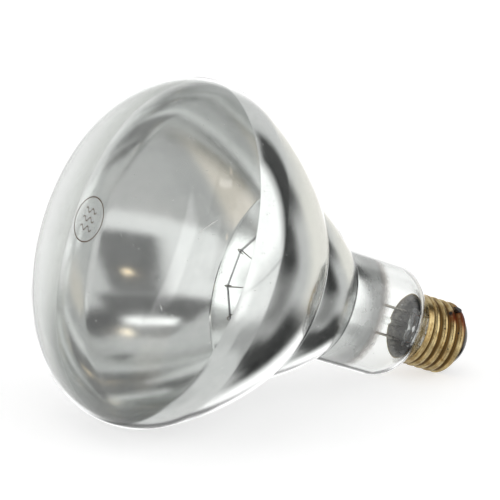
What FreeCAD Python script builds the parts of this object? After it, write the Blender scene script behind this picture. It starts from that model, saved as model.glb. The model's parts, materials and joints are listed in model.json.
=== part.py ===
import FreeCAD, Part
import os
from math import sin, cos, tan, asin, acos, atan2, radians, degrees, hypot, pi

# Infrared reflector heat lamp with a rolled screw cap. Millimetres and degrees.
# Each piece is drawn about the lamp's own axis: s runs from the tip of the face to the tip of the cap,
# r is the distance from that axis. At the end the whole lamp is laid down on its bowl and its cap.

# Blown glass bulb, outer surface
bulb_radius = 63.5
crown_radius = 155.0
knuckle_radius = 25.6
knuckle_end_angle = 24.5
bowl_radius = 110.7
bowl_end_radius = 36.1
step_start_angle = 24.0
step_radius = 101.0
step_end_radius = 21.3
crease_round = 1.5
neck_taper_angle = 0.6
neck_length = 23.7
shoulder_radius = 12.0
shoulder_end_angle = 41.0
spigot_radius = 11.2
spigot_round = 3.0
spigot_length = 10.4
bulb_wall = 1.1

# Aluminium film on the inside of the bowl, drawn thick enough to be a solid
mirror_thickness = 0.06
mirror_start = 28.0
mirror_end = 116.3

# Screw cap of rolled brass sheet
cap_radius = 13.1
cap_sheet = 0.3
cap_length = 17.5
cap_skirt = 2.2
cap_end_round = 2.3
cap_mouth_radius = 9.4
thread_pitch = 3.63
thread_round = 1.05
thread_crest_flat = 0.05
thread_run_out = 4.5
thread_last_crest = 2.9
thread_turns = 5
thread_turn_angle = 180.0

# Black glass insulator, contact plate and solder at the cap's tip
insulator_height = 5.0
insulator_tip_radius = 5.6
insulator_inner_depth = 1.6
insulator_bulge = 0.7
contact_radius = 4.9
contact_thickness = 0.8
contact_edge_round = 0.27
contact_bore = 1.1
solder_radius = 3.6
solder_height = 1.2
side_solder_radius = 1.3
side_solder_height = 0.35
side_solder_angle = 205.0
side_solder_from_end = 3.1

# Cement ring between cap and bulb
cement_length = 9.5

# Glass stem: flare tube, press, exhaust tube, and the rod that carries the filament supports
flare_tube_radius = 7.0
flare_wall = 1.0
flare_length = 5.5
press_length = 7.0
press_shoulder = 3.0
press_width = 15.0
press_thickness = 4.8
exhaust_radius = 2.0
exhaust_wall = 0.7
exhaust_length = 6.0
exhaust_hole_depth = 4.6
button_radius = 3.0
button_length = 4.0
button_round = 1.3
button_plane = 87.0
support_rod_radius = 1.4

# Wires
lead_spacing = 10.4
inner_lead_radius = 0.5
seal_wire_radius = 0.35
outer_lead_radius = 0.4
outer_lead_bend = 1.6
inner_lead_bend = 6.0
inner_lead_straight = 30.0
support_radius = 0.22
support_count = 6
support_embed = 1.8
hook_turn = 190.0
hook_tail = 1.6

# Coiled filament, strung as an open ring between the supports
filament_ring_radius = 18.0
filament_plane = 71.5
filament_gap_angle = 50.0
filament_coil_radius = 0.75
filament_bore_radius = 0.45
filament_bend = 1.6

# Clearances
fused_gap = 0.03
film_gap = 0.02
seat_gap = 0.05
hook_gap = 0.05
lead_tip_gap = 0.25

axis = FreeCAD.Vector(0, 0, 1)
origin = FreeCAD.Vector(0, 0, 0)


def at(r, s):
    """Point of a section, in the half plane that is turned about the lamp's axis."""
    return FreeCAD.Vector(r, 0, s)


def bulb_sections():
    """The bulb's outline as tangent sections: arcs (signed radius, first and last angle) and straight runs.

    An angle is that of the outward normal, from -90 at the face's tip, through 0 at the widest ring,
    towards 90 where a wall would face the cap. A hollow arc has a negative radius.
    """
    crown_end = -degrees(acos((bulb_radius - knuckle_radius) / (crown_radius - knuckle_radius)))
    knuckle_end = bulb_radius + knuckle_radius * (cos(radians(knuckle_end_angle)) - 1)
    bowl_cos = cos(radians(knuckle_end_angle)) - (knuckle_end - bowl_end_radius) / bowl_radius
    bowl_end_angle = degrees(acos(bowl_cos))
    step_start = bowl_end_radius - crease_round * (cos(radians(step_start_angle)) - bowl_cos)
    step_cos = cos(radians(step_start_angle)) - (step_start - step_end_radius) / step_radius
    step_end_angle = degrees(acos(step_cos))
    sections = [
        ("arc", crown_radius, -90.0, crown_end),
        ("arc", knuckle_radius, crown_end, knuckle_end_angle),
        ("arc", bowl_radius, knuckle_end_angle, bowl_end_angle),
        ("arc", -crease_round, bowl_end_angle, step_start_angle),
        ("arc", step_radius, step_start_angle, step_end_angle),
        ("arc", -crease_round, step_end_angle, neck_taper_angle),
        ("run", neck_length, neck_taper_angle),
        ("arc", shoulder_radius, neck_taper_angle, shoulder_end_angle),
    ]
    cone_start = walk(sections, 0)[-1][1].x
    round_drop = spigot_round * (1 - cos(radians(shoulder_end_angle)))
    cone_drop = cone_start - spigot_radius - round_drop
    sections.append(("run", cone_drop / sin(radians(shoulder_end_angle)), shoulder_end_angle))
    sections.append(("arc", -spigot_round, shoulder_end_angle, 0.0))
    sections.append(("run", spigot_length, 0.0))
    return sections


def walk(sections, inset):
    """Edge ends of the outline set in by inset: a list of (start, end, middle or None)."""
    s, r = inset, 0.0
    legs = []
    for section in sections:
        start = at(r, s)
        if section[0] == "run":
            s += section[1] * cos(radians(section[2]))
            r -= section[1] * sin(radians(section[2]))
            legs.append((start, at(r, s), None))
            continue
        radius = section[1] - inset
        first, last = radians(section[2]), radians(section[3])
        half = (first + last) / 2
        middle = at(r + radius * (cos(half) - cos(first)), s + radius * (sin(half) - sin(first)))
        r += radius * (cos(last) - cos(first))
        s += radius * (sin(last) - sin(first))
        legs.append((start, at(r, s), middle))
    return legs


outline = bulb_sections()
bulb_end = walk(outline, 0)[-1][1].z


def leg_edge(leg):
    start, end, middle = leg
    if middle is None:
        return Part.makeLine(start, end)
    return Part.Arc(start, middle, end).toShape()


def turned(edges):
    """Solid of revolution of a closed section about the lamp's axis."""
    face = Part.Face(Part.Wire(Part.__sortEdges__(edges)))
    return face.revolve(origin, axis, 360)


def polygon(points):
    return [Part.makeLine(a, b) for a, b in zip(points, points[1:] + points[:1])]


def filled_bulb(inset):
    """The space inside the outline set in by inset, down to the bulb's open end."""
    legs = walk(outline, inset)
    edges = [leg_edge(leg) for leg in legs]
    last, first = legs[-1][1], legs[0][0]
    edges.append(Part.makeLine(last, at(0, last.z)))
    edges.append(Part.makeLine(at(0, last.z), first))
    return turned(edges)


def bulb_shell(outer_inset, inner_inset, first=0, last=None):
    """Wall between two insets of the outline, from its first section to before the last."""
    outer = walk(outline, outer_inset)[first:last]
    inner = walk(outline, inner_inset)[first:last]
    edges = [leg_edge(leg) for leg in outer + inner]
    edges.append(Part.makeLine(outer[0][0], inner[0][0]))
    edges.append(Part.makeLine(outer[-1][1], inner[-1][1]))
    return turned(edges)


def ring(outer, inner, start, length):
    """Plain turned ring."""
    end = start + length
    return turned(polygon([at(inner, start), at(outer, start), at(outer, end), at(inner, end)]))


def rod(radius, start, length):
    return Part.makeCylinder(radius, length, at(0, start), axis)


def wire_path(points, bend):
    """Straight runs through the points, with a tangent arc of the bend radius at each inner point."""
    edges = []
    start = points[0]
    for before, corner, after in zip(points, points[1:], points[2:]):
        back = (before - corner).normalize()
        ahead = (after - corner).normalize()
        half = back.getAngle(ahead) / 2
        setback = bend / tan(half)
        middle_way = (back + ahead).normalize() * (bend / sin(half) - bend)
        edges.append(Part.makeLine(start, corner + back * setback))
        bend_end = corner + ahead * setback
        edges.append(Part.Arc(corner + back * setback, corner + middle_way, bend_end).toShape())
        start = bend_end
    edges.append(Part.makeLine(start, points[-1]))
    return Part.Wire(edges)


def drawn_wire(points, radius, bend):
    """Round wire of the given radius along straight runs and bends."""
    path = wire_path(points, bend)
    circle = Part.Circle(points[0], points[1] - points[0], radius).toShape()
    return path.makePipeShell([Part.Wire(circle)], True, False)


# Bulb and mirror

def make_glass_bulb():
    """One blown piece, kept as a chain of solids that part where the outline turns hollow."""
    hollows = [index for index, section in enumerate(outline) if section[0] == "arc" and section[1] < 0]
    ends = [0] + hollows + [len(outline)]
    return Part.Compound([bulb_shell(0, bulb_wall, first, last) for first, last in zip(ends, ends[1:])])


def make_reflector_coating():
    film = bulb_shell(bulb_wall + film_gap, bulb_wall + film_gap + mirror_thickness)
    return film.common(rod(bulb_radius, mirror_start, mirror_end - mirror_start))


# Cap. Its rim sits where the bulb's shoulder has shrunk into the sheet's inner radius.

cone_end = walk(outline, 0)[-3][1]
cap_rim = cone_end.z - (cap_radius - cap_sheet - seat_gap - cone_end.x) / tan(radians(shoulder_end_angle))
cap_end = cap_rim + cap_length
flank_angle = asin(thread_pitch / (4 * thread_round))
thread_depth = 2 * thread_round * (1 - cos(flank_angle)) - thread_crest_flat
thread_root_radius = cap_radius - thread_depth


def threaded_rod(inset):
    """Rod with the round thread: its ridge, from root to root, is swept along the helix."""
    crest_round = thread_round - inset
    root_round = thread_round + inset
    crest = cap_radius + thread_crest_flat - inset
    crest_centre = crest - crest_round
    root = thread_root_radius - inset
    root_centre = root + root_round
    half_pitch = thread_pitch / 2
    run_out = radians(thread_run_out)
    foot_z = half_pitch - root_round * sin(run_out)
    foot_r = root_centre - root_round * cos(run_out)
    flank_z = crest_round * sin(flank_angle)
    flank_r = crest_centre + crest_round * cos(flank_angle)
    bend = (flank_angle + run_out) / 2
    bend_z = half_pitch - root_round * sin(bend)
    bend_r = root_centre - root_round * cos(bend)
    keel_r = root - cap_sheet
    # The section's sides run below the root, so that the ridge joins the core all along its foot.
    edges = [
        Part.makeLine(at(keel_r, -foot_z), at(foot_r, -foot_z)),
        Part.Arc(at(foot_r, -foot_z), at(bend_r, -bend_z), at(flank_r, -flank_z)).toShape(),
        Part.Arc(at(flank_r, -flank_z), at(crest, 0), at(flank_r, flank_z)).toShape(),
        Part.Arc(at(flank_r, flank_z), at(bend_r, bend_z), at(foot_r, foot_z)).toShape(),
        Part.makeLine(at(foot_r, foot_z), at(keel_r, foot_z)),
        Part.makeLine(at(keel_r, foot_z), at(keel_r, -foot_z)),
    ]
    helix = Part.makeHelix(thread_pitch, thread_pitch * thread_turns, crest_centre)
    ridge = Part.Wire(helix.Edges).makePipeShell([Part.Wire(edges)], True, True)
    ridge.rotate(origin, axis, thread_turn_angle)
    ridge.translate(axis * (cap_end - thread_last_crest - thread_pitch * (thread_turns - 1)))
    core = rod(foot_r + fused_gap, cap_rim - thread_pitch, cap_length + 2 * thread_pitch)
    return core.fuse(ridge)


def cap_envelope(inset):
    """Turned form that the rolled sheet is held to: skirt, straight side and rounded end."""
    radius = cap_radius - inset
    end = cap_end - inset
    bend = cap_end_round
    knee = FreeCAD.Vector(radius - bend * (1 - cos(pi / 4)), 0, end - bend * (1 - sin(pi / 4)))
    edges = [
        Part.makeLine(at(0, cap_rim), at(radius, cap_rim)),
        Part.makeLine(at(radius, cap_rim), at(radius, end - bend)),
        Part.Arc(at(radius, end - bend), knee, at(radius - bend, end)).toShape(),
        Part.makeLine(at(radius - bend, end), at(0, end)),
        Part.makeLine(at(0, end), at(0, cap_rim)),
    ]
    return turned(edges)


def cap_form(inset):
    """Filled form of the cap's outside, or of its inside where inset is the sheet's thickness."""
    radius = cap_radius - inset
    reach = 2 * cap_radius
    outside = ring(reach, radius, cap_rim - cap_length, 3 * cap_length)
    corner = axis * cap_rim - FreeCAD.Vector(reach, reach, 0)
    slab = Part.makeBox(2 * reach, 2 * reach, cap_length - inset, corner)
    threaded = threaded_rod(inset).cut(outside).common(slab).common(cap_envelope(inset))
    return threaded.fuse(rod(radius, cap_rim, cap_skirt))


cap_outside = cap_form(0)
cap_inside = cap_form(cap_sheet)


def side_solder_place():
    """Direction from the axis to the side solder, and its distance along the axis."""
    angle = radians(side_solder_angle)
    return FreeCAD.Vector(cos(angle), sin(angle), 0), cap_end - side_solder_from_end


def side_lead_hole():
    """Clearance for the side lead through the shell and its solder."""
    out, height = side_solder_place()
    return Part.makeCylinder(outer_lead_radius + seat_gap, cap_radius, axis * height, out)


def make_cap_shell():
    shell = cap_outside.cut(cap_inside)
    shell = shell.cut(rod(cap_mouth_radius, cap_end - cap_end_round, 2 * cap_end_round))
    return shell.cut(side_lead_hole())


def make_basing_cement():
    blank = rod(thread_root_radius - cap_sheet - seat_gap, cap_rim, cement_length)
    collar = rod(cap_radius - cap_sheet - seat_gap, cap_rim, cap_skirt - seat_gap)
    return blank.fuse(collar).removeSplitter().cut(filled_bulb(-seat_gap)).removeSplitter()


def make_cap_insulator():
    """Pressed glass, keyed over the cap's mouth: a disc inside, a neck in the mouth, a button outside."""
    inner_end = cap_end - cap_sheet
    side_radius = cap_radius - cap_end_round
    bottom = inner_end - insulator_inner_depth
    tip = cap_end + insulator_height
    inside_radius = thread_root_radius - cap_sheet - cap_end_round
    mouth = cap_mouth_radius - seat_gap
    seat = inner_end - seat_gap
    lean = atan2(side_radius - insulator_tip_radius, insulator_height)
    middle = at((side_radius + insulator_tip_radius) / 2 + insulator_bulge * cos(lean),
                (cap_end + tip) / 2 + insulator_bulge * sin(lean))
    edges = [
        Part.makeLine(at(contact_bore, bottom), at(inside_radius, bottom)),
        Part.makeLine(at(inside_radius, bottom), at(inside_radius, seat)),
        Part.makeLine(at(inside_radius, seat), at(mouth, seat)),
        Part.makeLine(at(mouth, seat), at(mouth, cap_end)),
        Part.makeLine(at(mouth, cap_end), at(side_radius, cap_end)),
        Part.Arc(at(side_radius, cap_end), middle, at(insulator_tip_radius, tip)).toShape(),
        Part.makeLine(at(insulator_tip_radius, tip), at(contact_bore, tip)),
        Part.makeLine(at(contact_bore, tip), at(contact_bore, bottom)),
    ]
    return turned(edges)


contact_start = cap_end + insulator_height


def make_centre_contact():
    plate = ring(contact_radius, contact_bore, contact_start, contact_thickness)
    return plate.makeFillet(contact_edge_round, [plate.Edges[i] for i in outer_top_edges(plate)])


def outer_top_edges(plate):
    """The plate's outer rim on the side that meets the lampholder."""
    top = plate.BoundBox.ZMax
    found = []
    for index, edge in enumerate(plate.Edges):
        box = edge.BoundBox
        if box.ZMin > top - fused_gap and box.XMax > contact_radius - fused_gap:
            found.append(index)
    return found


def make_centre_solder():
    """Solder cap over the contact's bore, with the plug that fills the bore round the lead."""
    base = contact_start + contact_thickness
    dome = (solder_radius ** 2 + solder_height ** 2) / (2 * solder_height)
    half = asin(solder_radius / dome) / 2
    middle = at(dome * sin(half), base + solder_height - dome * (1 - cos(half)))
    edges = [
        Part.makeLine(at(0, contact_start), at(contact_bore - fused_gap, contact_start)),
        Part.makeLine(at(contact_bore - fused_gap, contact_start), at(contact_bore - fused_gap, base)),
        Part.makeLine(at(contact_bore - fused_gap, base), at(solder_radius, base)),
        Part.Arc(at(solder_radius, base), middle, at(0, base + solder_height)).toShape(),
        Part.makeLine(at(0, base + solder_height), at(0, contact_start)),
    ]
    return turned(edges)


def make_side_solder():
    """Flat fleck of solder where the side lead comes through the shell."""
    out, height = side_solder_place()
    fleck = Part.makeCylinder(side_solder_radius, cap_radius * 2, axis * height, out)
    fleck = fleck.common(rod(cap_radius + side_solder_height, cap_rim, cap_length))
    return fleck.cut(cap_outside).cut(side_lead_hole())


# Stem. The flare is fused into the spigot's end, and the press closes it towards the bulb.

flare_neck = bulb_end - flare_length
press_start = flare_neck - press_length


def lead_place(side, height):
    """Point on the lead's line in the press, at side -1 or 1 of the axis."""
    return FreeCAD.Vector(side * lead_spacing / 2, 0, height)


def pressed_section(height):
    oval = Part.Ellipse(at(0, height), press_width / 2, press_thickness / 2)
    return Part.Wire(oval.toShape())


def make_press():
    """Solid glass, squeezed flat round the seal wires, with the exhaust hole out of its side."""
    shoulder = flare_neck - press_shoulder
    blade = Part.Face(pressed_section(press_start)).extrude(axis * (shoulder - press_start))
    neck = Part.Wire(Part.Circle(at(0, flare_neck), axis, flare_tube_radius).toShape())
    press = blade.fuse(Part.makeLoft([pressed_section(shoulder), neck], True))
    bore = exhaust_radius - exhaust_wall
    down = rod(bore, flare_neck - exhaust_hole_depth, exhaust_hole_depth)
    out = Part.makeCylinder(bore, flare_tube_radius, at(0, flare_neck - exhaust_hole_depth + bore),
                            FreeCAD.Vector(0, 1, 0))
    press = press.cut(down).cut(out)
    for side in (-1, 1):
        channel = seal_wire_radius + fused_gap
        press = press.cut(Part.makeCylinder(channel, press_length, lead_place(side, press_start), axis))
    return press


def make_stem_flare():
    """Flared tube with its press, one piece of glass."""
    rim = spigot_radius - bulb_wall - fused_gap
    tube = flare_tube_radius
    bore = tube - flare_wall
    bend = rim - tube
    foot = bulb_end - flare_wall - bend
    outer_middle = at(rim - bend * cos(pi / 4), foot + bend * sin(pi / 4))
    inner_bend = bend + flare_wall
    inner_middle = at(rim - inner_bend * cos(pi / 4), foot + inner_bend * sin(pi / 4))
    edges = [
        Part.makeLine(at(tube, flare_neck), at(tube, foot)),
        Part.Arc(at(tube, foot), outer_middle, at(rim, foot + bend)).toShape(),
        Part.makeLine(at(rim, foot + bend), at(rim, bulb_end)),
        Part.Arc(at(rim, bulb_end), inner_middle, at(bore, foot)).toShape(),
        Part.makeLine(at(bore, foot), at(bore, flare_neck)),
        Part.makeLine(at(bore, flare_neck), at(tube, flare_neck)),
    ]
    return turned(edges).fuse(make_press())


def make_exhaust_tube():
    """Tube that the bulb was pumped through, sealed to a round tip."""
    bore = exhaust_radius - exhaust_wall
    tip = flare_neck + exhaust_length
    neck = tip - exhaust_radius
    half = exhaust_radius * cos(pi / 4)
    edges = [
        Part.makeLine(at(bore, flare_neck), at(exhaust_radius, flare_neck)),
        Part.makeLine(at(exhaust_radius, flare_neck), at(exhaust_radius, neck)),
        Part.Arc(at(exhaust_radius, neck), at(half, neck + half), at(0, tip)).toShape(),
        Part.makeLine(at(0, tip), at(0, neck)),
        Part.makeLine(at(0, neck), at(bore, neck)),
        Part.makeLine(at(bore, neck), at(bore, flare_neck)),
    ]
    return turned(edges)


# Filament and its supports, strung round the ring from one lead to the other

def ring_points():
    """Corners of the filament: one end, the supports in order, the other end."""
    spans = support_count + 1
    first = -90 + filament_gap_angle / 2
    step = (360 - filament_gap_angle) / spans
    centre = axis * filament_plane
    turns = [radians(first + step * index) for index in range(spans + 1)]
    return [centre + FreeCAD.Vector(cos(turn), sin(turn), 0) * filament_ring_radius for turn in turns]


def filament_crown(corner):
    """Centre of the coil at a support, where its bend cuts inside the corner."""
    half = radians(90 - (360 - filament_gap_angle) / (support_count + 1) / 2)
    drawn_in = filament_bend / sin(half) - filament_bend
    centre = axis * filament_plane
    return centre + (corner - centre) * (1 - drawn_in / filament_ring_radius)


def support_line(crown):
    """Where a support starts in the button, and its direction to the tangent of its hook."""
    start = axis * button_plane
    reach = crown - start
    hook = filament_coil_radius + hook_gap + support_radius
    lean = degrees(asin(hook / reach.Length))
    sideways = reach.cross(axis)
    direction = FreeCAD.Rotation(sideways, lean).multVec(reach).normalize()
    return start, direction, hook, (reach.Length ** 2 - hook ** 2) ** 0.5


def make_filament_support(corner):
    """Wire from the glass button to the filament, closed round the coil by a hook."""
    crown = filament_crown(corner)
    start, direction, hook, length = support_line(crown)
    tangent = start + direction * length
    inward = (crown - tangent).normalize()

    def on_hook(turn):
        return crown - inward * hook * cos(turn) + direction * hook * sin(turn)

    turn = radians(hook_turn)
    tail = inward * sin(turn) + direction * cos(turn)
    base = start + direction * (button_radius - support_embed)
    path = Part.Wire([
        Part.makeLine(base, tangent),
        Part.Arc(tangent, on_hook(turn / 2), on_hook(turn)).toShape(),
        Part.makeLine(on_hook(turn), on_hook(turn) + tail * hook_tail),
    ])
    circle = Part.Circle(base, direction, support_radius).toShape()
    return path.makePipeShell([Part.Wire(circle)], True, False)


def make_support_rod():
    """Glass rod from the press, with the button that the supports are set in."""
    shaft = rod(support_rod_radius, button_plane, press_start - button_plane)
    button = rod(button_radius, button_plane - button_length / 2, button_length)
    glass = button.makeFillet(button_round, rims(button)).fuse(shaft)
    for corner in ring_points()[1:-1]:
        start, direction, hook, length = support_line(filament_crown(corner))
        base = start + direction * (button_radius - support_embed)
        glass = glass.cut(Part.makeCylinder(support_radius + fused_gap, button_length, base, direction))
    return glass


def rims(cylinder):
    """The two round edges of a plain cylinder."""
    return [edge for edge in cylinder.Edges if isinstance(edge.Curve, Part.Circle)]


def make_filament():
    """Outer form of the coiled wire: a fine sleeve, straight between supports."""
    sleeve = drawn_wire(ring_points(), filament_coil_radius, filament_bend)
    return sleeve.cut(drawn_wire(ring_points(), filament_bore_radius, filament_bend))


# Leads

def make_inner_lead(side):
    """Stout wire from the press to one end of the filament."""
    ends = ring_points()
    end = min((ends[0], ends[-1]), key=lambda point: -point.x * side)
    bend_point = lead_place(side, press_start - inner_lead_straight)
    reach = (end - bend_point).normalize()
    tip = end - reach * (filament_coil_radius + lead_tip_gap)
    return drawn_wire([lead_place(side, press_start), bend_point, tip], inner_lead_radius, inner_lead_bend)


def make_seal_wire(side):
    return Part.makeCylinder(seal_wire_radius, press_length, lead_place(side, press_start), axis)


def make_side_lead():
    out, height = side_solder_place()
    points = [lead_place(-1, flare_neck), lead_place(-1, height), out * cap_radius + axis * height]
    return drawn_wire(points, outer_lead_radius, outer_lead_bend).common(rod(cap_radius, 0, cap_end))


def make_centre_lead():
    under_insulator = cap_end - cap_sheet - insulator_inner_depth
    points = [lead_place(1, flare_neck), lead_place(1, bulb_end), axis * under_insulator,
              axis * (contact_start - fused_gap)]
    return drawn_wire(points, outer_lead_radius, outer_lead_bend)


# Rest: the lamp lies on the knuckle of its bulb and on the rounded end of its cap

def lie_down(shapes):
    """Turn the axis down onto +X until both rounds touch the floor, and centre the lamp over the origin."""
    knuckle, knuckle_start = outline[1], walk(outline, 0)[1][0]
    centre_s = knuckle_start.z - knuckle_radius * sin(radians(knuckle[2]))
    centre_r = bulb_radius - knuckle_radius
    run = cap_end - cap_end_round - centre_s
    drop = centre_r - (cap_radius - cap_end_round)
    tilt = asin((knuckle_radius - cap_end_round) / hypot(run, drop)) + atan2(drop, run)
    height = centre_s * sin(tilt) + centre_r * cos(tilt) + knuckle_radius
    place = FreeCAD.Placement(axis * height, FreeCAD.Rotation(FreeCAD.Vector(0, 1, 0), 90 + degrees(tilt)))
    for shape in shapes:
        shape.Placement = place.multiply(shape.Placement)
    box = Part.Compound(shapes).optimalBoundingBox(False, False)
    for shape in shapes:
        shape.translate(FreeCAD.Vector(-(box.XMin + box.XMax) / 2, 0, 0))
    length = contact_start + contact_thickness + solder_height
    print("tilt %.2f degrees, length %.2f mm" % (degrees(tilt), length))


parts = {
    "glass_bulb": make_glass_bulb(),
    "reflector_coating": make_reflector_coating(),
    "cap_shell": make_cap_shell(),
    "basing_cement": make_basing_cement(),
    "cap_insulator": make_cap_insulator(),
    "centre_contact": make_centre_contact(),
    "centre_solder": make_centre_solder(),
    "side_solder": make_side_solder(),
    "stem_flare": make_stem_flare(),
    "exhaust_tube": make_exhaust_tube(),
    "support_rod": make_support_rod(),
    "filament": make_filament(),
    "side_lead": make_side_lead(),
    "centre_lead": make_centre_lead(),
}
for name, side in (("upper", -1), ("lower", 1)):
    parts["inner_lead_" + name] = make_inner_lead(side)
    parts["seal_wire_" + name] = make_seal_wire(side)
for index, corner in enumerate(ring_points()[1:-1], 1):
    parts["filament_support_%d" % index] = make_filament_support(corner)

lie_down(list(parts.values()))
os.makedirs("parts", exist_ok=True)
for name, shape in parts.items():
    solid = shape.removeSplitter() if len(shape.Solids) == 1 else shape
    print("%-22s %9.2f mm3, %d solid, valid %s" % (name, solid.Volume, len(solid.Solids), solid.isValid()))
    solid.exportStep("parts/%s.step" % name)
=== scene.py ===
import bpy, bmesh, json
from math import sin, cos, acos, asin, radians, degrees, pi, ceil
from mathutils import Matrix, Vector


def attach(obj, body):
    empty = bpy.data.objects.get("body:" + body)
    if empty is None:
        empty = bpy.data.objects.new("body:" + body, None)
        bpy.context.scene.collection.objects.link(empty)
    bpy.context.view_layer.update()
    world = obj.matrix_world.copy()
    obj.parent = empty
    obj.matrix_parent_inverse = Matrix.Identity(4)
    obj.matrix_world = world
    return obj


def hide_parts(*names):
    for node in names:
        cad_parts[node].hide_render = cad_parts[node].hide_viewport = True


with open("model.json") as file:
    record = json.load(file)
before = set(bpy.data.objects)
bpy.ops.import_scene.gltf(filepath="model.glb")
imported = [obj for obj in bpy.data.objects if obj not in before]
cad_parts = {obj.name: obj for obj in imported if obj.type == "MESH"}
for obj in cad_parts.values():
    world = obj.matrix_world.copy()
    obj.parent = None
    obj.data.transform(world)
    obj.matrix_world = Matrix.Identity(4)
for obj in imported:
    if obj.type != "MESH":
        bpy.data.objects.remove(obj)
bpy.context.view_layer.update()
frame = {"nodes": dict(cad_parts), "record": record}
nodes = frame["nodes"]
print("frame loaded,", len(nodes), "nodes")

mm = 0.001
joinDistance = 0.0005 * mm  # vertices nearer than this are one

# The lamp lies on its bowl and its cap. Its own axis runs from the tip of the face, at 0, to the
# tip of the cap.
capMount = next(m for m in frame["record"]["mounts"] if m["name"] == "cap_thread")
capMountPlace = 146.364 * mm  # how far along the axis that mount is
lampAxis = Vector(capMount["axis"])
lampTip = Vector(capMount["pos_m"]) - lampAxis * capMountPlace
lampTurn = Matrix.Rotation(pi / 2 + asin(-lampAxis.z), 4, "Y")
lampPlace = Matrix.Translation(lampTip) @ lampTurn


# helpers for materials and meshes

def linear(hexColour):
    # an sRGB hex value as Blender's linear colour
    parts = [int(hexColour[i:i + 2], 16) / 255 for i in (1, 3, 5)]
    return tuple(c / 12.92 if c < 0.04045 else ((c + 0.055) / 1.055) ** 2.4 for c in parts) + (1.0,)


def addNode(tree, kind, inputs=(), output=0, **settings):
    # inputs by name or number in a dictionary, or in order in a list; output None gives all outputs
    node = tree.nodes.new(kind)
    for name, value in settings.items():
        setattr(node, name, value)
    for socket, value in inputs.items() if isinstance(inputs, dict) else enumerate(inputs):
        if isinstance(value, bpy.types.NodeSocket):
            tree.links.new(value, node.inputs[socket])
        else:
            node.inputs[socket].default_value = value
    return node.outputs if output is None else node.outputs[output]


def newMaterial(name):
    material = bpy.data.materials.new(name)
    material.use_nodes = True
    material.node_tree.nodes.clear()
    return material, material.node_tree


def lampPosition(tree):
    # position along the lamp's own axes in mm: x is down, y away from the camera, z runs to the cap
    where = addNode(tree, "ShaderNodeTexCoord", output="Object")
    return addNode(tree, "ShaderNodeMapping", {
        "Vector": where, "Location": lampTip, "Rotation": lampTurn.to_euler(),
        "Scale": (mm, mm, mm)}, vector_type="TEXTURE")


def fromAxis(tree, place):
    # distance from the lamp's axis in mm
    flat = addNode(tree, "ShaderNodeVectorMath", [place, (1, 1, 0)], operation="MULTIPLY")
    return addNode(tree, "ShaderNodeVectorMath", [flat], "Value", operation="LENGTH")


def anyOf(tree, masks):
    # the masks laid over one another
    total = masks[0]
    for mask in masks[1:]:
        total = addNode(tree, "ShaderNodeMath", [total, mask], operation="MAXIMUM")
    return total


def mark(tree, place, centre, halfSize, along=(1, 0, 0), soft=0.4):
    # a spot or stroke on the surface: 1 inside it and 0 outside; centre and half sizes in lamp mm
    facing = Vector(along).to_track_quat("X", "Z").to_euler()
    near = addNode(tree, "ShaderNodeMapping", {
        "Vector": place, "Location": centre, "Rotation": facing, "Scale": halfSize},
        vector_type="TEXTURE")
    away = addNode(tree, "ShaderNodeVectorMath", [near], "Value", operation="LENGTH")
    return addNode(tree, "ShaderNodeMapRange", [away, 1 - soft, 1 + soft, 1.0, 0.0],
                   interpolation_type="SMOOTHSTEP")


def dust(tree, place, spacing, size, amount):
    # sparse specks: spacing and size in mm, amount from 0 to 1 of the cells that hold one
    cells = addNode(tree, "ShaderNodeTexVoronoi", {"Vector": place, "Scale": 1 / spacing}, None)
    reach = size / spacing
    speck = addNode(tree, "ShaderNodeMapRange", [cells["Distance"], 0.6 * reach, reach, 1.0, 0.0],
                    interpolation_type="SMOOTHSTEP")
    chance = addNode(tree, "ShaderNodeSeparateColor", [cells["Color"]])
    kept = addNode(tree, "ShaderNodeMath", [chance, amount], operation="LESS_THAN")
    return addNode(tree, "ShaderNodeMath", [speck, kept], operation="MULTIPLY")


def pieceFrom(bm, name, material, place=lampPlace, smooth=True):
    bm.transform(place)
    mesh = bpy.data.meshes.new(name)
    bm.to_mesh(mesh)
    bm.free()
    for face in mesh.polygons:
        face.use_smooth = smooth
    piece = bpy.data.objects.new(name, mesh)
    bpy.context.scene.collection.objects.link(piece)
    mesh.materials.append(material)
    return piece


def fit(piece, node):
    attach(piece, "root")
    if node:
        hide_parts(node)


# the bulb's outline, in mm and degrees as in the frame

bulb = {
    "radius": 63.5, "crown": 155.0, "knuckle": 25.6, "knuckleEnd": 24.5, "bowl": 110.7,
    "bowlEnd": 36.1, "stepStart": 24.0, "step": 101.0, "stepEnd": 21.3, "crease": 1.5,
    "neckTaper": 0.6, "neck": 23.7, "shoulder": 12.0, "shoulderEnd": 41.0,
    "spigot": 11.2, "spigotRound": 3.0, "spigotLength": 10.4,
    "wall": 1.1, "filmGap": 0.02, "film": 0.06, "filmStart": 28.0, "filmEnd": 116.3,
    # one step of an arc, the fewest that it has, the radius past which it has twice as many, and
    # the steps round the axis
    "facetAngle": 1.2, "leastSteps": 4, "flatArc": 90.0, "glassSteps": 160, "filmSteps": 200,
}


def angleFor(cosine):
    return degrees(acos(cosine))


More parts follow.
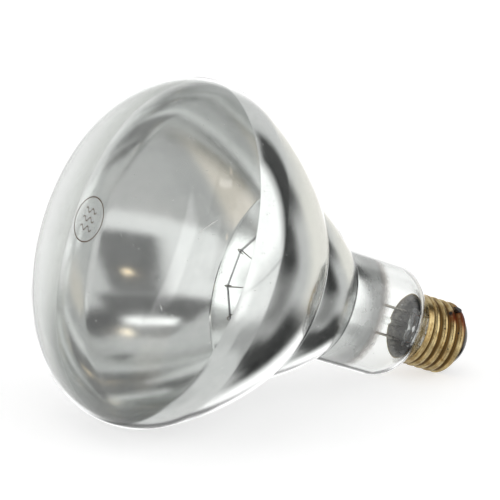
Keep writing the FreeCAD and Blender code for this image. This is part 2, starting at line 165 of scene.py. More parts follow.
def bulbSections(b):
    # from the face's tip on: tangent arcs (radius, first and last angle of the normal) and straight
    # runs (length, angle, angle)
    knuckleCos, stepCos, taperCos, shoulderCos = (
        cos(radians(b[name])) for name in ("knuckleEnd", "stepStart", "neckTaper", "shoulderEnd"))
    crownEnd = -angleFor((b["radius"] - b["knuckle"]) / (b["crown"] - b["knuckle"]))
    knuckleEnd = b["radius"] + b["knuckle"] * (knuckleCos - 1)
    bowlCos = knuckleCos - (knuckleEnd - b["bowlEnd"]) / b["bowl"]
    bowlEnd = angleFor(bowlCos)
    stepStart = b["bowlEnd"] - b["crease"] * (stepCos - bowlCos)
    stepEnd = angleFor(stepCos - (stepStart - b["stepEnd"]) / b["step"])
    neckRadius = b["stepEnd"] - b["crease"] * (taperCos - cos(radians(stepEnd)))
    shoulderStart = neckRadius - b["neck"] * sin(radians(b["neckTaper"]))
    coneStart = shoulderStart + b["shoulder"] * (shoulderCos - taperCos)
    coneDrop = coneStart - b["spigot"] - b["spigotRound"] * (1 - shoulderCos)
    return [
        ("arc", b["crown"], -90.0, crownEnd),
        ("arc", b["knuckle"], crownEnd, b["knuckleEnd"]),
        ("arc", b["bowl"], b["knuckleEnd"], bowlEnd),
        ("arc", -b["crease"], bowlEnd, b["stepStart"]),
        ("arc", b["step"], b["stepStart"], stepEnd),
        ("arc", -b["crease"], stepEnd, b["neckTaper"]),
        ("run", b["neck"], b["neckTaper"], b["neckTaper"]),
        ("arc", b["shoulder"], b["neckTaper"], b["shoulderEnd"]),
        ("run", coneDrop / sin(radians(b["shoulderEnd"])), b["shoulderEnd"], b["shoulderEnd"]),
        ("arc", -b["spigotRound"], b["shoulderEnd"], 0.0),
        ("run", b["spigotLength"], 0.0, 0.0),
    ]


def drawOutline(bm, inset):
    # a pen goes along the outline: an arc is spun about its centre, a run is pushed out
    pen = bm.verts.new((0, 0, inset * mm))
    for kind, size, first, last in bulbSections(bulb):
        normal = Vector((cos(radians(first)), 0, sin(radians(first))))
        if kind == "arc":
            centre = pen.co - normal * (size - inset) * mm
            steps = max(bulb["leastSteps"], ceil(abs(last - first) / bulb["facetAngle"]))
            if abs(size) > bulb["flatArc"]:
                steps *= 2
            arc = bmesh.ops.spin(bm, geom=[pen], cent=centre, axis=(0, -1, 0),
                                 angle=radians(last - first), steps=steps)
            pen = arc["geom_last"][0]
        else:
            end = bmesh.ops.extrude_vert_indiv(bm, verts=[pen])["verts"]
            along = Vector((-sin(radians(first)), 0, cos(radians(first))))
            bmesh.ops.translate(bm, verts=end, vec=along * size * mm)
            pen = end[0]
    return pen


def turn(bm, steps):
    # an eighth of the round is spun, then doubled three times
    bmesh.ops.spin(bm, geom=bm.verts[:] + bm.edges[:], cent=(0, 0, 0), axis=(0, 0, 1), angle=pi / 4,
                   steps=steps // 8)
    for angle in (pi / 4, pi / 2, pi):
        copied = bmesh.ops.duplicate(bm, geom=bm.verts[:] + bm.edges[:] + bm.faces[:])["geom"]
        copied = [part for part in copied if isinstance(part, bmesh.types.BMVert)]
        bmesh.ops.rotate(bm, verts=copied, cent=(0, 0, 0), matrix=Matrix.Rotation(angle, 3, "Z"))
    bmesh.ops.remove_doubles(bm, verts=bm.verts, dist=joinDistance)
    bmesh.ops.recalc_face_normals(bm, faces=bm.faces)


# the blown bulb

glass = {
    "waveSize": 22.0, "waveDepth": 0.5, "smearSize": 9.0,  # mm
    "dust": (4.5, 0.28, 0.5),  # spacing and size in mm, share of the cells
    # centre, half size in lamp mm, direction
    "marks": {
        "long scratch": ((-18.6, -52.0, 12.6), (4.6, 0.22, 0.22), (-6.5, -2.2, 4.0)),
        "short scratch": ((-17.2, -48.6, 10.6), (1.7, 0.2, 0.2), (-5.4, -2.6, 3.0)),
        "low scratch": ((14.0, -47.5, 9.6), (1.9, 0.2, 0.2), (4.5, -3.0, 1.4)),
        # a small white spot on the neck glass
        "neck white spot": ((7.32, -19.49, 114.7), (0.55, 0.55, 0.55), (1, 0, 0)),
    },
    # from and to in lamp mm, strength at each: it grows towards the film and ends at its edge
    "veilGrows": (15.0, 29.0, 0.0, 1.0), "veilEnds": (28.0, 29.0, 1.0, 0.0),
    # the low part of the veil and its darkening downwards are painted shade
    "veilFar": (-8.0, 18.0, 0.0, 1.0), "veilShadeLow": (35.0, 58.0, 0.0, 1.0),
    "veilShadeDeepens": (22.0, 52.0, 0.0, 1.0),
}


def clearGlass():
    # soda-lime glass, blown: clear and glossy, slightly wavy, with specks of dust and scratches
    material, tree = newMaterial("blown_clear_glass")
    place = lampPosition(tree)
    down, away, height = addNode(tree, "ShaderNodeSeparateXYZ", [place], None)
    waves = addNode(tree, "ShaderNodeTexNoise", {
        "Vector": place, "Scale": 1 / glass["waveSize"], "Detail": 1.0})
    bump = addNode(tree, "ShaderNodeBump", {
        "Height": waves, "Strength": 0.12, "Distance": glass["waveDepth"] * mm})
    marks = [mark(tree, place, *glassMark) for glassMark in glass["marks"].values()]
    worn = anyOf(tree, marks + [dust(tree, place, *glass["dust"])])
    worn = addNode(tree, "ShaderNodeMath", [worn, 0.6], operation="MULTIPLY")

    # on the far side a breath of aluminium lies on the glass in front of the film; below, the veil
    # is painted shade of the lamp's own shadow, darker downwards
    grows, ends, far, low, shadeDeepens = (
        addNode(tree, "ShaderNodeMapRange", [value, *glass[fade]], interpolation_type="SMOOTHSTEP")
        for value, fade in ((height, "veilGrows"), (height, "veilEnds"), (away, "veilFar"),
                            (down, "veilShadeLow"), (down, "veilShadeDeepens")))
    veil = addNode(tree, "ShaderNodeMath", [grows, ends], operation="MULTIPLY")
    veil = addNode(tree, "ShaderNodeMath", [veil, anyOf(tree, [far, low])], operation="MULTIPLY")
    # painted shade: the veil's colour darkens towards the bottom
    breathAndShade = addNode(tree, "ShaderNodeMix", {
        0: shadeDeepens, 6: linear("#c6c9c5"), 7: linear("#8c908d")}, 2, data_type="RGBA")
    colour = addNode(tree, "ShaderNodeMix", {
        0: veil, 6: linear("#fdfefd"), 7: breathAndShade}, 2, data_type="RGBA")
    colour = addNode(tree, "ShaderNodeMix", {
        0: worn, 6: colour, 7: linear("#f4f4f2")}, 2, data_type="RGBA")

    smears = addNode(tree, "ShaderNodeTexNoise", {
        "Vector": place, "Scale": 1 / glass["smearSize"], "Detail": 4.0, "Roughness": 0.6})
    haze = addNode(tree, "ShaderNodeMapRange", [smears, 0.5, 0.8, 0.0, 0.03],
                   interpolation_type="SMOOTHSTEP")
    rough = addNode(tree, "ShaderNodeMath", [worn, 0.5, haze], operation="MULTIPLY_ADD")
    clear = addNode(tree, "ShaderNodeMath", [1.0, worn], operation="SUBTRACT")
    shader = addNode(tree, "ShaderNodeBsdfPrincipled", {
        "Base Color": colour, "Roughness": rough, "IOR": 1.5, "Transmission Weight": clear,
        "Normal": bump})
    addNode(tree, "ShaderNodeOutputMaterial", {"Surface": shader}, None)
    return material


def makeBulb():
    bm = bmesh.new()
    outerEnd = drawOutline(bm, 0)
    innerEnd = drawOutline(bm, bulb["wall"])
    bm.edges.new((outerEnd, innerEnd))
    turn(bm, bulb["glassSteps"])
    fit(pieceFrom(bm, "blown_bulb", clearGlass()), "glass_bulb")


makeBulb()
print("bulb made")


# the mirror: aluminium film on the inside of the bowl, the step and the neck

film = {
    "cloudSize": 18.0, "ragSize": 1.5, "ragDepth": 1.6,  # mm
    "dust": (3.0, 0.3, 0.8),  # spacing and size in mm, share of the cells
    # from and to in the noise, value at each
    "cloudPale": (0.3, 0.7, 0.0, 1.0), "cloudDull": (0.3, 0.7, 0.1, 0.17),
    # from and to in lamp mm, value at each
    "endTint": (112.0, 116.4, 0.0, 1.0), "endFades": (111.5, 117.6, 1.0, 0.0),
    "neckDulls": (98.0, 106.0, 0.0, 0.14), "neckGreys": (102.0, 111.0, 1.0, 0.35),
    "frontFades": (28.0, 36.0, 0.75, 0.0), "farSide": (25.0, 50.0, 0.0, 1.0),
}


def mirrorFilm():
    # aluminium, vapour coated on glass: a soft grey mirror with specks, thin and pinkish at its end
    material, tree = newMaterial("vapour_coated_aluminium")
    place = lampPosition(tree)
    down, away, height = addNode(tree, "ShaderNodeSeparateXYZ", [place], None)
    clouds = addNode(tree, "ShaderNodeTexNoise", {
        "Vector": place, "Scale": 1 / film["cloudSize"], "Detail": 5.0, "Roughness": 0.6})
    ragged = addNode(tree, "ShaderNodeTexNoise", {
        "Vector": place, "Scale": 1 / film["ragSize"], "Detail": 3.0})
    edge = addNode(tree, "ShaderNodeMath", [ragged, film["ragDepth"], height],
                   operation="MULTIPLY_ADD")
    # the distance away plus half the height, largest high up on the far side
    side = addNode(tree, "ShaderNodeMath", [down, -0.5, away], operation="MULTIPLY_ADD")
    pale, sheen, tinted, covered, dull, grey, thinFront, far = (
        addNode(tree, "ShaderNodeMapRange", [value, *fade], interpolation_type="SMOOTHSTEP")
        for value, fade in (
            (clouds, film["cloudPale"]), (clouds, film["cloudDull"]), (edge, film["endTint"]),
            (edge, film["endFades"]), (height, film["neckDulls"]), (height, film["neckGreys"]),
            (height, film["frontFades"]), (side, film["farSide"])))
    specks = dust(tree, place, *film["dust"])
    colour = addNode(tree, "ShaderNodeMix", {
        0: pale, 6: linear("#e8eae9"), 7: linear("#f5f6f5")}, 2, data_type="RGBA")
    colour = addNode(tree, "ShaderNodeMix", {
        0: tinted, 6: colour, 7: linear("#d9c6bb")}, 2, data_type="RGBA")
    colour = addNode(tree, "ShaderNodeMix", {
        0: specks, 6: colour, 7: linear("#ffffff")}, 2, data_type="RGBA")

    # on the far side the film also thins out towards its front edge
    thin = addNode(tree, "ShaderNodeMath", [far, thinFront], operation="MULTIPLY")
    kept = addNode(tree, "ShaderNodeMath", [1.0, thin], operation="SUBTRACT")
    solid = addNode(tree, "ShaderNodeMath", [covered, kept], operation="MULTIPLY")
    rough = addNode(tree, "ShaderNodeMath", [dull, sheen], operation="ADD")
    bright = addNode(tree, "ShaderNodeMath", [specks, -0.6, 1.0], operation="MULTIPLY_ADD")
    metal = addNode(tree, "ShaderNodeMath", [bright, grey], operation="MULTIPLY")
    shader = addNode(tree, "ShaderNodeBsdfPrincipled", {
        "Base Color": colour, "Metallic": metal, "Roughness": rough, "Alpha": solid})
    addNode(tree, "ShaderNodeOutputMaterial", {"Surface": shader}, None)
    return material


def makeMirror():
    bm = bmesh.new()
    outerEnd = drawOutline(bm, bulb["wall"] + bulb["filmGap"])
    innerEnd = drawOutline(bm, bulb["wall"] + bulb["filmGap"] + bulb["film"])
    bm.edges.new((outerEnd, innerEnd))
    turn(bm, bulb["filmSteps"])
    for height, away in ((bulb["filmStart"], (0, 0, -1)), (bulb["filmEnd"], (0, 0, 1))):
        bmesh.ops.bisect_plane(bm, geom=bm.verts[:] + bm.edges[:] + bm.faces[:],
                               plane_co=(0, 0, height * mm), plane_no=away, dist=joinDistance,
                               clear_outer=True)
    middle = (bulb["filmStart"] + bulb["filmEnd"]) / 2 * mm
    rims = [edge for edge in bm.edges if edge.is_boundary]
    for rim in ([edge for edge in rims if edge.verts[0].co.z < middle],
                [edge for edge in rims if edge.verts[0].co.z > middle]):
        bmesh.ops.bridge_loops(bm, edges=rim)
    bmesh.ops.recalc_face_normals(bm, faces=bm.faces)
    fit(pieceFrom(bm, "mirror_film", mirrorFilm()), "reflector_coating")


makeMirror()
print("mirror made")


def speckled(name, low, high, size, roughness, metallic=0.0, transmission=0.0, ior=1.5):
    # two close tones in a fine grain, size in mm, with the roughness varied by a fifth
    material, tree = newMaterial(name)
    grain = addNode(tree, "ShaderNodeTexNoise", {
        "Vector": lampPosition(tree), "Scale": 1 / size, "Detail": 3.0})
    amount = addNode(tree, "ShaderNodeMapRange", [grain, 0.3, 0.7, 0.0, 1.0],
                     interpolation_type="SMOOTHSTEP")
    colour = addNode(tree, "ShaderNodeMix", {
        0: amount, 6: linear(low), 7: linear(high)}, 2, data_type="RGBA")
    rough = addNode(tree, "ShaderNodeMapRange", [
        amount, 0.0, 1.0, roughness * 0.8, roughness * 1.2], interpolation_type="SMOOTHSTEP")
    shader = addNode(tree, "ShaderNodeBsdfPrincipled", {
        "Base Color": colour, "Metallic": metallic, "Roughness": rough, "IOR": ior,
        "Transmission Weight": transmission})
    addNode(tree, "ShaderNodeOutputMaterial", {"Surface": shader}, None)
    return material


# the filament: coiled tungsten wire, strung straight from support to support

filament = {
    "ring": 18.0, "plane": 71.5, "gap": 50.0, "supports": 6, "bend": 1.6,
    # the wire is drawn as coarse as it needs to show; the real one is finer
    "wire": 0.09, "coil": 0.36, "pitch": 0.4, "turnSteps": 9, "wireSides": 5,
}


def filamentCorners(f):
    spans = f["supports"] + 1
    step = (360 - f["gap"]) / spans
    # the coil cuts inside the corner at a support
    drawnIn = f["bend"] / cos(radians(step / 2)) - f["bend"]
    corners = []
    for index in range(spans + 1):
        radius = f["ring"] - (drawnIn if 0 < index < spans else 0)
        angle = radians(f["gap"] / 2 - 90 + step * index)
        corners.append(Vector((radius * cos(angle), radius * sin(angle), f["plane"])) * mm)
    return corners


def coilSpan(start, end, f):
    # one turn after another round the line from start to end, swept from a small disc of the wire
    bm = bmesh.new()
    along = (end - start).normalized()
    outward = along.cross(Vector((0, 0, 1))).normalized()
    turns = round((end - start).length / (f["pitch"] * mm))
    steps = turns * f["turnSteps"]
    facing = Matrix((outward, outward.cross(along), along)).transposed().to_4x4()
    facing = facing @ Matrix.Rotation(pi / 2, 4, "X")
    facing = Matrix.Translation(start + outward * f["coil"] * mm) @ facing
    disc = bmesh.ops.create_circle(bm, cap_ends=True, segments=f["wireSides"],
                                   radius=f["wire"] * mm, matrix=facing)
    edges = list({edge for vert in disc["verts"] for edge in vert.link_edges})
    swept = bmesh.ops.spin(bm, geom=disc["verts"] + edges, cent=start, axis=along,
                           dvec=(end - start) / steps, angle=2 * pi * turns, steps=steps)
    lastRing = [edge for edge in swept["geom_last"] if isinstance(edge, bmesh.types.BMEdge)]
    bmesh.ops.contextual_create(bm, geom=lastRing)
    mesh = bpy.data.meshes.new("coil_span")
    bm.to_mesh(mesh)
    bm.free()
    return mesh


def makeFilament():
    bm = bmesh.new()
    corners = filamentCorners(filament)
    for start, end in zip(corners, corners[1:]):
        span = coilSpan(start, end, filament)
        bm.from_mesh(span)
        bpy.data.meshes.remove(span)
    bmesh.ops.recalc_face_normals(bm, faces=bm.faces)
    # tungsten, drawn and coiled: dull dark grey wire
    wire = speckled("coiled_tungsten", "#4c4b4d", "#77767a", 0.5, 0.35, 1.0)
    fit(pieceFrom(bm, "coiled_filament", wire), "filament")


makeFilament()
print("filament made")


# the stamp on the face: a plain oval line and three plain waves

stamp = {
    # mm, and the turn in degrees
    "centre": (-2.85, 4.3), "halfSize": (8.36, 9.86), "line": 0.45, "height": 0.02, "turn": -4.5,
    "waves": (-3.2, 0.0, 3.2), "waveLength": 8.4, "waveHeight": 0.8, "swings": 2,
    "ovalSides": 96, "waveSteps": 28,
}


def onFace(verts):
    # verts on the flat are laid on the face's round front
    radius = (bulb["crown"] + stamp["height"]) * mm
    for vert in verts:
        flat = Vector((vert.co.x, vert.co.y, 0))
        rise = bulb["crown"] * mm - (radius ** 2 - flat.length_squared) ** 0.5
        vert.co = flat + Vector((0, 0, rise))


def makeStamp():
    bm = bmesh.new()
    line, length = stamp["line"] * mm, stamp["waveLength"] * mm
    oval = bmesh.ops.create_circle(bm, cap_ends=True, segments=stamp["ovalSides"], radius=1.0)
    width, height = stamp["halfSize"]
    bmesh.ops.scale(bm, vec=(width * mm, height * mm, 1), verts=oval["verts"])
    ring = bmesh.ops.inset_region(bm, faces=bm.faces[:], thickness=line, use_boundary=True)
    ring = set(ring["faces"])
    bmesh.ops.delete(bm, geom=[face for face in bm.faces if face not in ring], context="FACES_ONLY")
    for offset in stamp["waves"]:
        strip = bmesh.ops.create_grid(bm, x_segments=1, y_segments=stamp["waveSteps"], size=0.5)
        strip = strip["verts"]
        bmesh.ops.scale(bm, vec=(line, length, 1), verts=strip)
        for vert in strip:
            swing = stamp["waveHeight"] * sin(vert.co.y / length * stamp["swings"] * 2 * pi)
            vert.co.x += (offset + swing) * mm
    bmesh.ops.rotate(bm, verts=bm.verts, cent=(0, 0, 0),
                     matrix=Matrix.Rotation(radians(stamp["turn"]), 3, "Z"))
    across, along = stamp["centre"]
    bmesh.ops.translate(bm, verts=bm.verts, vec=(across * mm, along * mm, 0))
    onFace(bm.verts)
    bmesh.ops.recalc_face_normals(bm, faces=bm.faces)
    # enamel ink, screened and baked: matt grey-brown line, worn thin in places
    ink = speckled("baked_brown_ink", "#574535", "#7a6755", 0.8, 0.6)
    fit(pieceFrom(bm, "oval_stamp", ink), None)


makeStamp()
print("stamp made")


# finishes of the CAD nodes

cap = {
    # centre, half size in lamp mm
    "burn": ((-9.98, -7.58, 149.2), (1.0, 1.0, 0.7)),
    "burnHalo": ((-9.2, -8.4, 150.6), (2.6, 2.6, 1.8)),
    "endTarnish": ((-9.6, -6.4, 154.4), (6.5, 6.5, 1.9)),
    "specks": (((-12.1, -3.6, 152.6), 0.45), ((-13.0, -0.6, 153.3), 0.4),
               ((-4.43, -11.41, 152.75), 0.35), ((-4.69, -12.1, 146.2), 0.32),
               ((2.0, -12.6, 150.1), 0.3)),
    "dust": (2.6, 0.22, 0.6),  # spacing and size in mm, share of the cells
    "patchSize": 3.5, "lineSpacing": 0.25, "lineLength": 25 / 3,  # mm
    "ragSize": 1.0, "ragDepth": 1.6,  # mm
    "grooveEdge": (12.15, 12.75, 1.0, 0.0),  # from and to from the axis in mm, value at each
}


def agedBrass():
    # brass sheet, rolled: dull gold crests, brown grooves, lines along the thread, a burn, specks
    material, tree = newMaterial("rolled_brass_tarnished")
    place = lampPosition(tree)
    patches = addNode(tree, "ShaderNodeTexNoise", {
        "Vector": place, "Scale": 1 / cap["patchSize"], "Detail": 5.0, "Roughness": 0.65})
    drawnOut = (1 / cap["lineLength"], 1 / cap["lineLength"], 1 / cap["lineSpacing"])
    lines = addNode(tree, "ShaderNodeMapping", {"Vector": place, "Scale": drawnOut})
    lines = addNode(tree, "ShaderNodeTexNoise", {"Vector": lines, "Scale": 1.0, "Detail": 2.0})
    tone = addNode(tree, "ShaderNodeMath", [lines, 0.5, patches], operation="MULTIPLY_ADD")
    tone = addNode(tree, "ShaderNodeMapRange", [tone, 0.55, 0.95, 0.0, 1.0],
                   interpolation_type="SMOOTHSTEP")
    groove = addNode(tree, "ShaderNodeMapRange", [fromAxis(tree, place), *cap["grooveEdge"]],
                     interpolation_type="SMOOTHSTEP")

    # the burn and the tarnish have ragged edges
    ragged = addNode(tree, "ShaderNodeTexNoise", {
        "Vector": place, "Scale": 1 / cap["ragSize"], "Detail": 4.0}, "Color")
    wobble = addNode(tree, "ShaderNodeVectorMath", [ragged, (0.5, 0.5, 0.5)], operation="SUBTRACT")
    nearby = addNode(tree, "ShaderNodeVectorMath", [wobble, (cap["ragDepth"],) * 3, place],
                     operation="MULTIPLY_ADD")
    halo = anyOf(tree, [mark(tree, nearby, *cap["burnHalo"], soft=0.6),
                        mark(tree, nearby, *cap["endTarnish"], soft=0.5)])
    burnt = [mark(tree, nearby, *cap["burn"])]
    burnt += [mark(tree, place, centre, (size, size, size)) for centre, size in cap["specks"]]
    burnt = anyOf(tree, burnt + [dust(tree, place, *cap["dust"])])

    colour = linear("#a1834f")
    for amount, shade in (
            (tone, "#e3cf9c"), (groove, "#6a512c"), (halo, "#7a3a1c"), (burnt, "#120d0a")):
        colour = addNode(tree, "ShaderNodeMix", {
            0: amount, 6: colour, 7: linear(shade)}, 2, data_type="RGBA")
    metal = addNode(tree, "ShaderNodeMapRange", [burnt, 0.0, 1.0, 1.0, 0.2])
    rough = addNode(tree, "ShaderNodeMapRange", [anyOf(tree, [groove, halo]), 0.0, 1.0, 0.24, 0.42])
    shader = addNode(tree, "ShaderNodeBsdfPrincipled", {
        "Base Color": colour, "Metallic": metal, "Roughness": rough})
    addNode(tree, "ShaderNodeOutputMaterial", {"Surface": shader}, None)
    return material


cement = {
    "blotchSize": 2.2, "blotchDepth": 0.4,  # mm
    "crumbs": (1.6, 0.3, 0.35),  # spacing and size in mm, share of the cells
}


def basingCement():
    # resin and marble flour, baked: dull grey-brown, mottled, with pale crumbs
    material, tree = newMaterial("baked_basing_cement")
    place = lampPosition(tree)
    blotches = addNode(tree, "ShaderNodeTexNoise", {
        "Vector": place, "Scale": 1 / cement["blotchSize"], "Detail": 6.0, "Roughness": 0.7})
    amount = addNode(tree, "ShaderNodeMapRange", [blotches, 0.35, 0.65, 0.0, 1.0],
                     interpolation_type="SMOOTHSTEP")
    colour = addNode(tree, "ShaderNodeMix", {
        0: amount, 6: linear("#6b6761"), 7: linear("#b0a99c")}, 2, data_type="RGBA")
    crumbs = dust(tree, place, *cement["crumbs"])
    colour = addNode(tree, "ShaderNodeMix", {
        0: crumbs, 6: colour, 7: linear("#c9c4b8")}, 2, data_type="RGBA")
    bump = addNode(tree, "ShaderNodeBump", {
        "Height": blotches, "Strength": 0.6, "Distance": cement["blotchDepth"] * mm})
    shader = addNode(tree, "ShaderNodeBsdfPrincipled", {
        "Base Color": colour, "Roughness": 0.85, "Normal": bump})
    addNode(tree, "ShaderNodeOutputMaterial", {"Surface": shader}, None)
    return material


# plain ones: two tones, size of the grain in mm, roughness, metallic, transmission, IOR
finishes = {
    "cap_brass": agedBrass(),
    "basing_cement": basingCement(),
    # black glass, pressed: glossy, near black
    "black_glass": speckled("pressed_black_glass", "#0b0a0a", "#1c1817", 1.0, 0.12),
    # brass plate, stamped: plain dull gold
    "contact_brass": speckled("stamped_brass_plate", "#a98a50", "#c9ac70", 1.0, 0.3, 1.0),
    # tin-lead solder, melted on and burnt: dull dark grey
    "solder": speckled("burnt_tin_solder", "#3b3836", "#6a6664", 0.8, 0.45, 1.0),
    # lead glass, pressed hot: clear, very glossy, bends light a little more than the bulb does
    "stem_glass": speckled("pressed_stem_glass", "#f4f7f5", "#ffffff", 4.0, 0.03, 0.0, 1.0, 1.55),
    # nickel plated wire, drawn: warm light grey
    "lead_wire": speckled("drawn_nickel_wire", "#8f8a80", "#b8b3a8", 0.6, 0.3, 1.0),
    # copper clad wire, drawn: reddish and dull
    "copper_wire": speckled("drawn_copper_clad_wire", "#a1603c", "#c98458", 0.6, 0.35, 1.0),
    # molybdenum wire, drawn: mid grey
    "support_wire": speckled("drawn_molybdenum_wire", "#77736c", "#9b968d", 0.5, 0.35, 1.0),
}

for part in frame["record"]["subparts"]:
    if part["material_slot"] in finishes:
        node = nodes[part["node"]]
        node.data.materials.clear()
        node.data.materials.append(finishes[part["material_slot"]])
print("finishes set on the CAD nodes")


# floor and light

stage = {
    "floorHalf": 3.0, "floorColour": "#dedede", "whiteGlow": 0.62, "room": 0.60,
    # soft areas of the room, each laid over those before it: azimuth and elevation of the middle,
    # half sizes and blur at the edge in degrees, brightness
    "areas": {
        "dull floor": (-120, -22, 22, 32, 14, 0.50),
        "warm floor": (-173, -32, 17, 26, 16, 0.78),
        "dim floor": (-150, -24, 9, 28, 10, 0.46),
        "white board behind": (173, 22, 14, 17, 8, 2.1),
        "window": (-141, 23, 12, 24, 8, 0.98),
        "pale panel": (-118, 4, 16, 6, 5, 0.95),
        "far wall": (-90, 32, 12, 20, 8, 0.66),
        "dark doorway": (-113, 29, 12.5, 19, 5, 0.12),
        "dark ceiling": (-124, 58, 32, 9.5, 6, 0.07),
        "dark ceiling's end": (-80, 66, 27, 9, 8, 0.05),
        "dim ceiling": (-124, 75, 32, 6, 5, 0.33),
        "ceiling tube": (-122, 67, 22, 2.5, 3, 1.7),
        "ceiling": (0, 85, 180, 5, 6, 0.62),
        "dim corner above": (14, 82, 16, 3, 4, 0.22),
        "warm ceiling lamp": (-94, 75, 6, 2.3, 3, 2.2),
        "warm lamp": (-111, 35, 1.8, 1.8, 2.5, 2.4),
        "white sweep": (-45, 12, 30, 40, 10, 1.25),
        "pale sweep": (-34, -18, 24, 15, 14, 0.95),
        "pale ground": (-30, -62, 120, 16, 10, 0.70),
        "grey ground": (-28, -43, 28, 7, 8, 0.42),
        "high side wall": (50, 18, 24, 22, 12, 0.66),
        "low side wall": (40, -14, 23, 13, 12, 0.84),
        "side ground": (50, -36, 16, 10, 8, 1.25),
        "white wall past the lamp": (66, -12, 15, 28, 14, 1.25),
        "dim side ground": (62, -41, 14, 9, 7, 0.22),
        "shadow below the lamp": (-150, -76, 66, 18, 12, 0.28),
        "dim foot of the stand": (-4, -24, 7, 12, 10, 0.22),
        "dark stand": (-1, 12, 6.5, 30, 8, 0.04),
        "dark side of the stand": (9, 19, 10, 22, 10, 0.07),
        "dark ground": (17, -38, 12, 10, 8, 0.04),
        "dark ground's end": (7, -44, 10, 5, 6, 0.06),
        "sweep's seam": (-38, -11.5, 32, 0.5, 0.7, 0.42),
    },
    "tints": {"warm floor": "#fff6ea", "warm ceiling lamp": "#fff0d8", "warm lamp": "#ffe8c4",
              "low side wall": "#fffdf6"},  # the other areas are white
}


def straightSeen(tree, rays):
    # 1 for what the camera sees straight or through glass, 0 for what a mirror shows
    seen = addNode(tree, "ShaderNodeMath", [rays["Is Camera Ray"], rays["Is Transmission Ray"]],
                   operation="MAXIMUM")
    direct = addNode(tree, "ShaderNodeMath", [rays["Glossy Depth"], 0.5], operation="LESS_THAN")
    return addNode(tree, "ShaderNodeMath", [seen, direct], operation="MULTIPLY")


def floorFinish():
    # paper, matt coated: plain white with the lamp's soft shadow; a mirror looks past it, at the
    # lower half of the room
    material, tree = newMaterial("matt_paper_floor")
    rays = addNode(tree, "ShaderNodeLightPath", output=None)
    glow = addNode(tree, "ShaderNodeMath", [straightSeen(tree, rays), stage["whiteGlow"]],
                   operation="MULTIPLY")
    matt = addNode(tree, "ShaderNodeBsdfDiffuse", {"Color": linear(stage["floorColour"])})
    light = addNode(tree, "ShaderNodeEmission", {"Strength": glow})
    both = addNode(tree, "ShaderNodeAddShader", [matt, light])
    mirrored = addNode(tree, "ShaderNodeMath", [rays["Glossy Depth"], 0.5],
                       operation="GREATER_THAN")
    past = anyOf(tree, [mirrored, rays["Is Shadow Ray"]])
    clear = addNode(tree, "ShaderNodeBsdfTransparent")
    shader = addNode(tree, "ShaderNodeMixShader", [past, both, clear])
    addNode(tree, "ShaderNodeOutputMaterial", {"Surface": shader}, None)
    return material


def makeFloor():
    bm = bmesh.new()
    bmesh.ops.create_grid(bm, x_segments=1, y_segments=1, size=stage["floorHalf"])
    pieceFrom(bm, "floor", floorFinish(), Matrix.Identity(4), False)


makeFloor()
print("floor made")


def softArea(tree, azimuth, elevation, place):
    # 1 inside a soft-edged area of the room, 0 outside it
    middleAzimuth, middleElevation, halfAzimuth, halfElevation, blur = place
    around = addNode(tree, "ShaderNodeMath", [azimuth, middleAzimuth], operation="SUBTRACT")
    around = addNode(tree, "ShaderNodeMath", [around, -180, 180], operation="WRAP")
    above = addNode(tree, "ShaderNodeMath", [elevation, middleElevation], operation="SUBTRACT")
    masks = []
    for offset, half in ((around, halfAzimuth), (above, halfElevation)):
        away = addNode(tree, "ShaderNodeMath", [offset], operation="ABSOLUTE")
        masks.append(addNode(
            tree, "ShaderNodeMapRange", [away, half - blur / 2, half + blur / 2, 1.0, 0.0],
            interpolation_type="SMOOTHSTEP"))
    return addNode(tree, "ShaderNodeMath", masks, operation="MULTIPLY")


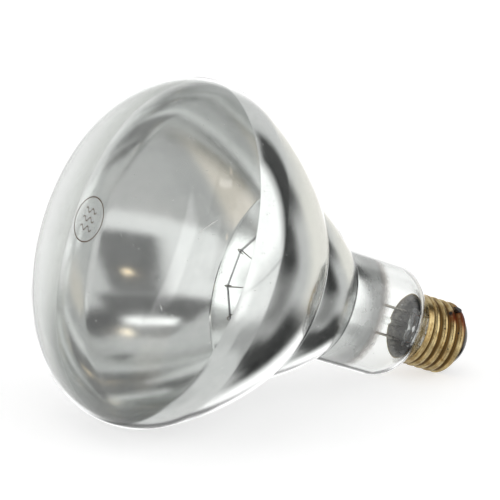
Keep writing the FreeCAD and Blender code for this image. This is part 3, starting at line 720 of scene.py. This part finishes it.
def makeWorld():
    # the room round the lamp: a pale studio with a white sweep, a window and darker places
    world = bpy.data.worlds.new("soft_studio")
    bpy.context.scene.world = world
    world.use_nodes = True
    tree = world.node_tree
    tree.nodes.clear()
    direction = addNode(tree, "ShaderNodeTexCoord", output="Generated")
    x, y, z = addNode(tree, "ShaderNodeSeparateXYZ", [direction], None)
    azimuth = addNode(tree, "ShaderNodeMath", [y, x], operation="ARCTAN2")
    elevation = addNode(tree, "ShaderNodeMath", [z], operation="ARCSINE")
    azimuth, elevation = (addNode(tree, "ShaderNodeMath", [angle], operation="DEGREES")
                          for angle in (azimuth, elevation))
    light = (stage["room"],) * 3 + (1.0,)
    for name, (*place, brightness) in stage["areas"].items():
        tint = linear(stage["tints"].get(name, "#ffffff"))
        shade = tuple(brightness * part for part in tint[:3]) + (1.0,)
        light = addNode(tree, "ShaderNodeMix", {
            0: softArea(tree, azimuth, elevation, place), 6: light, 7: shade}, 2, data_type="RGBA")
    rays = addNode(tree, "ShaderNodeLightPath", output=None)
    light = addNode(tree, "ShaderNodeMix", {
        0: straightSeen(tree, rays), 6: light, 7: linear("#ffffff")}, 2, data_type="RGBA")
    studio = addNode(tree, "ShaderNodeBackground", {"Color": light, "Strength": 1.0})
    addNode(tree, "ShaderNodeOutputWorld", {"Surface": studio}, None)


makeWorld()
print("light made")


# the camera: it looks level with its azimuth and elevation, in degrees, at a point of the lamp's
# axis, axisPoint in mm from the tip, which shows at that pixel of the picture

view = {
    "azimuth": -28.2, "elevation": 16.76, "distance": 2.27974, "axisPoint": 31.32,
    "pixel": (164.152, 252.225), "picture": 500, "lens": 466.26, "sensor": 36.0, "clipEnd": 20.0,
}


def makeCamera():
    data = bpy.data.cameras.new("camera")
    data.lens = view["lens"]
    data.sensor_width = view["sensor"]
    data.clip_end = view["clipEnd"]
    camera = bpy.data.objects.new("camera", data)
    bpy.context.scene.collection.objects.link(camera)
    turned = Matrix.Rotation(radians(view["azimuth"]), 4, "Z")
    turned = turned @ Matrix.Rotation(radians(90 - view["elevation"]), 4, "X")
    focal = view["lens"] / view["sensor"] * view["picture"]
    across, down = ((pixel - view["picture"] / 2) / focal * view["distance"]
                    for pixel in view["pixel"])
    seen = turned @ Vector((across, -down, -view["distance"]))
    spot = lampPlace @ Vector((0, 0, view["axisPoint"] * mm))
    camera.matrix_world = Matrix.Translation(spot - seen) @ turned
    bpy.context.scene.camera = camera


makeCamera()
print("camera placed")

scene = bpy.context.scene
scene.view_settings.view_transform = "Standard"
# a ray crosses both walls of the bulb, the film and the stem several times
scene.cycles.max_bounces = 24
scene.cycles.glossy_bounces = 16
scene.cycles.transmission_bounces = 24
scene.cycles.transparent_max_bounces = 16
scene.cycles.diffuse_bounces = 4

bpy.context.view_layer.update()
